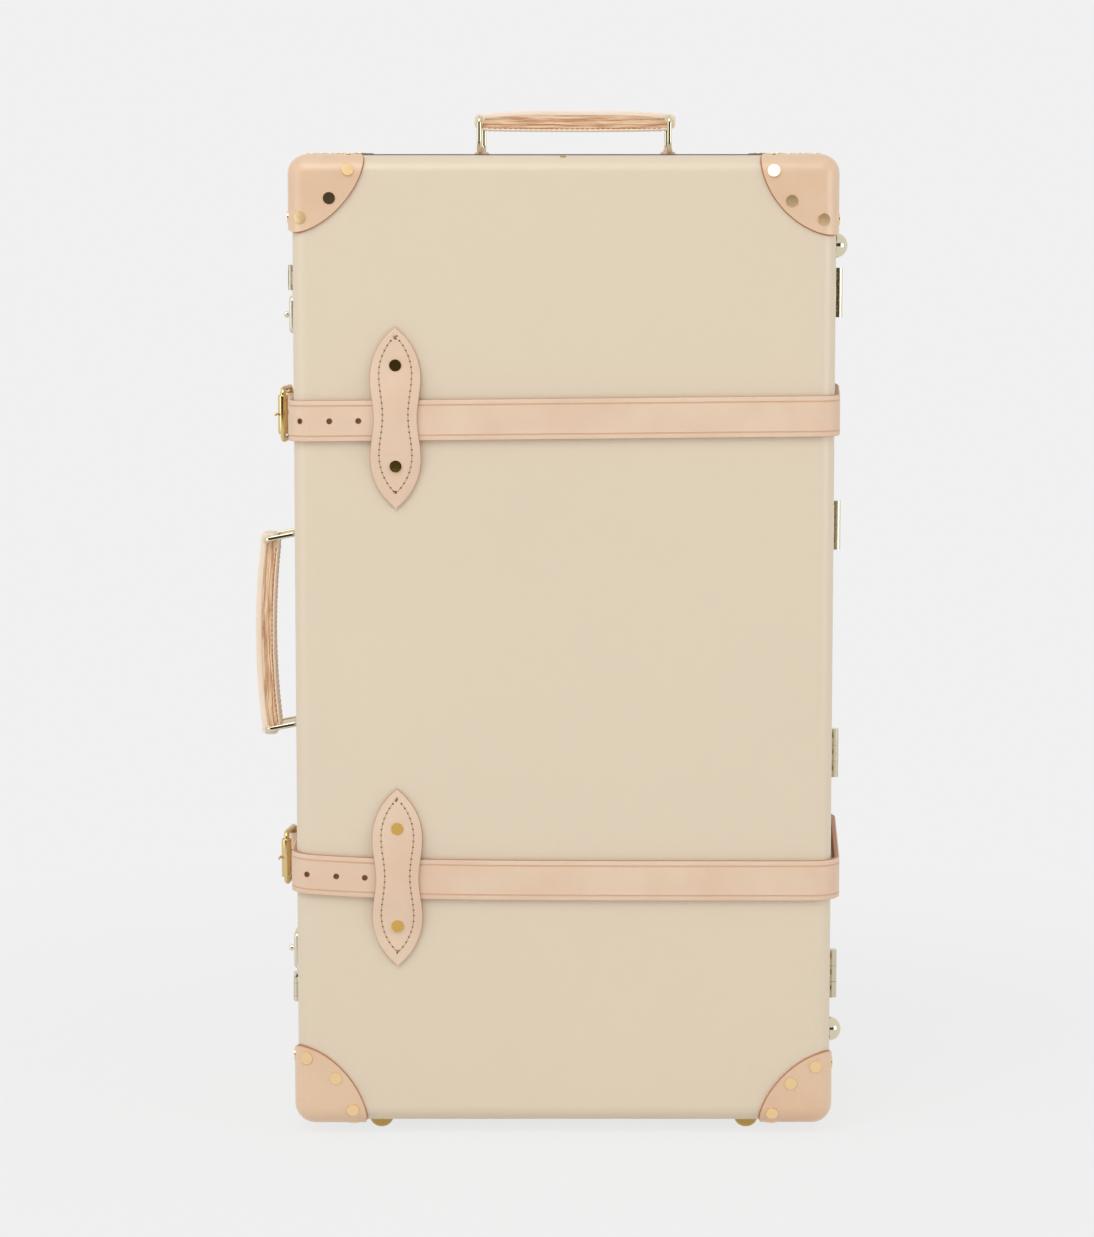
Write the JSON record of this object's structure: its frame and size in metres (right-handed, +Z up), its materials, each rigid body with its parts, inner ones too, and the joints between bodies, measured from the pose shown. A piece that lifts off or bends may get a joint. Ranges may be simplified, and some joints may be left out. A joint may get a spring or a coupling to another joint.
{
  "type": "suitcase",
  "caption": "Upright travelling case with a shallow hinged lid, leather corners, buckled straps with keepers, hasp locks, stud feet and carrying handles on the top and side.",
  "frame": {"origin": "on the floor under the middle of the whole object's bounding box, fittings included", "axes": "+Z up as the case stands, +Y from the lid's panel to the back panel, +X from the locks to the hinges"},
  "size_m": [0.482, 0.2516, 0.8299],
  "materials": {
    "board": "varnished ivory fibreboard",
    "leather": "natural vegetable-tanned",
    "grip": "laminated and stitched",
    "brass": "polished",
    "wood": "bent ash, satin",
    "lining": "plain woven cotton"
  },
  "bodies": {
    "base": {"base_shell": "board", "base_lining": "lining", "base_frame": "wood", "base_corner_top_left": "leather", "base_corner_top_right": "leather", "base_corner_bottom_left": "leather", "base_corner_bottom_right": "leather", "base_foot_left": "brass", "base_foot_right": "brass", "base_side_foot_upper": "brass", "base_side_foot_lower": "brass", "hinge_1_base_leaf": "brass", "hinge_2_base_leaf": "brass", "hinge_3_base_leaf": "brass", "hinge_4_base_leaf": "brass", "upper_lock_body": "brass", "lower_lock_body": "brass", "top_handle_mount_left": "leather", "top_handle_mount_right": "leather", "side_handle_mount_upper": "leather", "side_handle_mount_lower": "leather", "upper_strap_back": "leather", "lower_strap_back": "leather"},
    "lid": {"lid_shell": "board", "lid_lining": "lining", "lid_corner_top_left": "leather", "lid_corner_top_right": "leather", "lid_corner_bottom_left": "leather", "lid_corner_bottom_right": "leather", "lid_foot_left": "brass", "lid_foot_right": "brass", "lid_side_foot_upper": "brass", "lid_side_foot_lower": "brass", "hinge_1_lid_leaf": "brass", "hinge_2_lid_leaf": "brass", "hinge_3_lid_leaf": "brass", "hinge_4_lid_leaf": "brass", "upper_hasp_plate": "brass", "lower_hasp_plate": "brass", "upper_strap_front": "leather", "lower_strap_front": "leather", "upper_strap_keeper": "leather", "lower_strap_keeper": "leather"},
    "top_left_loop": {"top_handle_loop_left": "brass"},
    "top_right_loop": {"top_handle_loop_right": "brass"},
    "top_grip": {"top_handle_grip": "grip"},
    "side_lower_loop": {"side_handle_loop_lower": "brass"},
    "side_upper_loop": {"side_handle_loop_upper": "brass"},
    "side_grip": {"side_handle_grip": "grip"},
    "upper_hasp": {"upper_hasp": "brass"},
    "lower_hasp": {"lower_hasp": "brass"},
    "upper_button": {"upper_lock_button": "brass"},
    "lower_button": {"lower_lock_button": "brass"},
    "upper_buckle": {"upper_buckle_frame": "brass"},
    "lower_buckle": {"lower_buckle_frame": "brass"},
    "upper_prong": {"upper_buckle_prong": "brass"},
    "lower_prong": {"lower_buckle_prong": "brass"},
    "upper_roller": {"upper_buckle_roller": "brass"},
    "lower_roller": {"lower_buckle_roller": "brass"}
  },
  "joints": [
    {"name": "lid_hinge", "type": "hinge", "parent": "base", "child": "lid", "pos_m": [0.23584, -0.0535, 0.4019], "axis": [0, 0, 1], "range_deg": [0, 105]},
    {"name": "top_left_loop_pivot", "type": "hinge", "parent": "base", "child": "top_left_loop", "pos_m": [-0.05351, 0.0015, 0.7965], "axis": [0, 1, 0], "range_deg": [-40, 40]},
    {"name": "top_right_loop_pivot", "type": "hinge", "parent": "base", "child": "top_right_loop", "pos_m": [0.09949, 0.0015, 0.7965], "axis": [0, 1, 0], "range_deg": [-40, 40]},
    {"name": "top_grip_pivot", "type": "hinge", "parent": "top_left_loop", "child": "top_grip", "pos_m": [-0.05351, 0.0015, 0.8237], "axis": [0, 1, 0], "range_deg": [-40, 40]},
    {"name": "side_lower_loop_pivot", "type": "hinge", "parent": "base", "child": "side_lower_loop", "pos_m": [-0.20576, 0.0015, 0.32415], "axis": [0, 1, 0], "range_deg": [-30, 52]},
    {"name": "side_upper_loop_pivot", "type": "hinge", "parent": "base", "child": "side_upper_loop", "pos_m": [-0.20576, 0.0015, 0.48265], "axis": [0, 1, 0], "range_deg": [-30, 52]},
    {"name": "side_grip_pivot", "type": "hinge", "parent": "side_lower_loop", "child": "side_grip", "pos_m": [-0.23244, 0.0015, 0.31887], "axis": [0, 1, 0], "range_deg": [-52, 30]},
    {"name": "upper_hasp_pivot", "type": "hinge", "parent": "lid", "child": "upper_hasp", "pos_m": [-0.20656, -0.0615, 0.6949], "axis": [0, 0, 1], "range_deg": [0, 120]},
    {"name": "lower_hasp_pivot", "type": "hinge", "parent": "lid", "child": "lower_hasp", "pos_m": [-0.20656, -0.0615, 0.1089], "axis": [0, 0, 1], "range_deg": [0, 120]},
    {"name": "upper_button_slide", "type": "slide", "parent": "base", "child": "upper_button", "axis": [0, 0, -1], "range_m": [0, 0.005], "stiffness_N_per_m": 200, "springref_m": -0.002},
    {"name": "lower_button_slide", "type": "slide", "parent": "base", "child": "lower_button", "axis": [0, 0, 1], "range_m": [0, 0.005], "stiffness_N_per_m": 200, "springref_m": -0.002},
    {"name": "upper_buckle_pivot", "type": "hinge", "parent": "base", "child": "upper_buckle", "pos_m": [-0.21166, -0.0065, 0.5829], "axis": [0, 0, -1], "range_deg": [0, 60]},
    {"name": "lower_buckle_pivot", "type": "hinge", "parent": "base", "child": "lower_buckle", "pos_m": [-0.21166, -0.0065, 0.2154], "axis": [0, 0, -1], "range_deg": [0, 60]},
    {"name": "upper_prong_pivot", "type": "hinge", "parent": "upper_buckle", "child": "upper_prong", "pos_m": [-0.21166, -0.0065, 0.5829], "axis": [0, 0, -1], "range_deg": [0, 30]},
    {"name": "lower_prong_pivot", "type": "hinge", "parent": "lower_buckle", "child": "lower_prong", "pos_m": [-0.21166, -0.0065, 0.2154], "axis": [0, 0, -1], "range_deg": [0, 30]},
    {"name": "upper_roller_turn", "type": "hinge", "parent": "upper_buckle", "child": "upper_roller", "pos_m": [-0.21546, -0.0405, 0.5829], "axis": [0, 0, 1], "range_deg": [-180, 180]},
    {"name": "lower_roller_turn", "type": "hinge", "parent": "lower_buckle", "child": "lower_roller", "pos_m": [-0.21546, -0.0405, 0.2154], "axis": [0, 0, 1], "range_deg": [-180, 180]}
  ],
  "couplings": [
    {"joint": "top_right_loop_pivot", "follows": "top_left_loop_pivot", "ratio": 1},
    {"joint": "top_grip_pivot", "follows": "top_left_loop_pivot", "ratio": -1},
    {"joint": "side_upper_loop_pivot", "follows": "side_lower_loop_pivot", "ratio": 1},
    {"joint": "side_grip_pivot", "follows": "side_lower_loop_pivot", "ratio": -1}
  ]
}
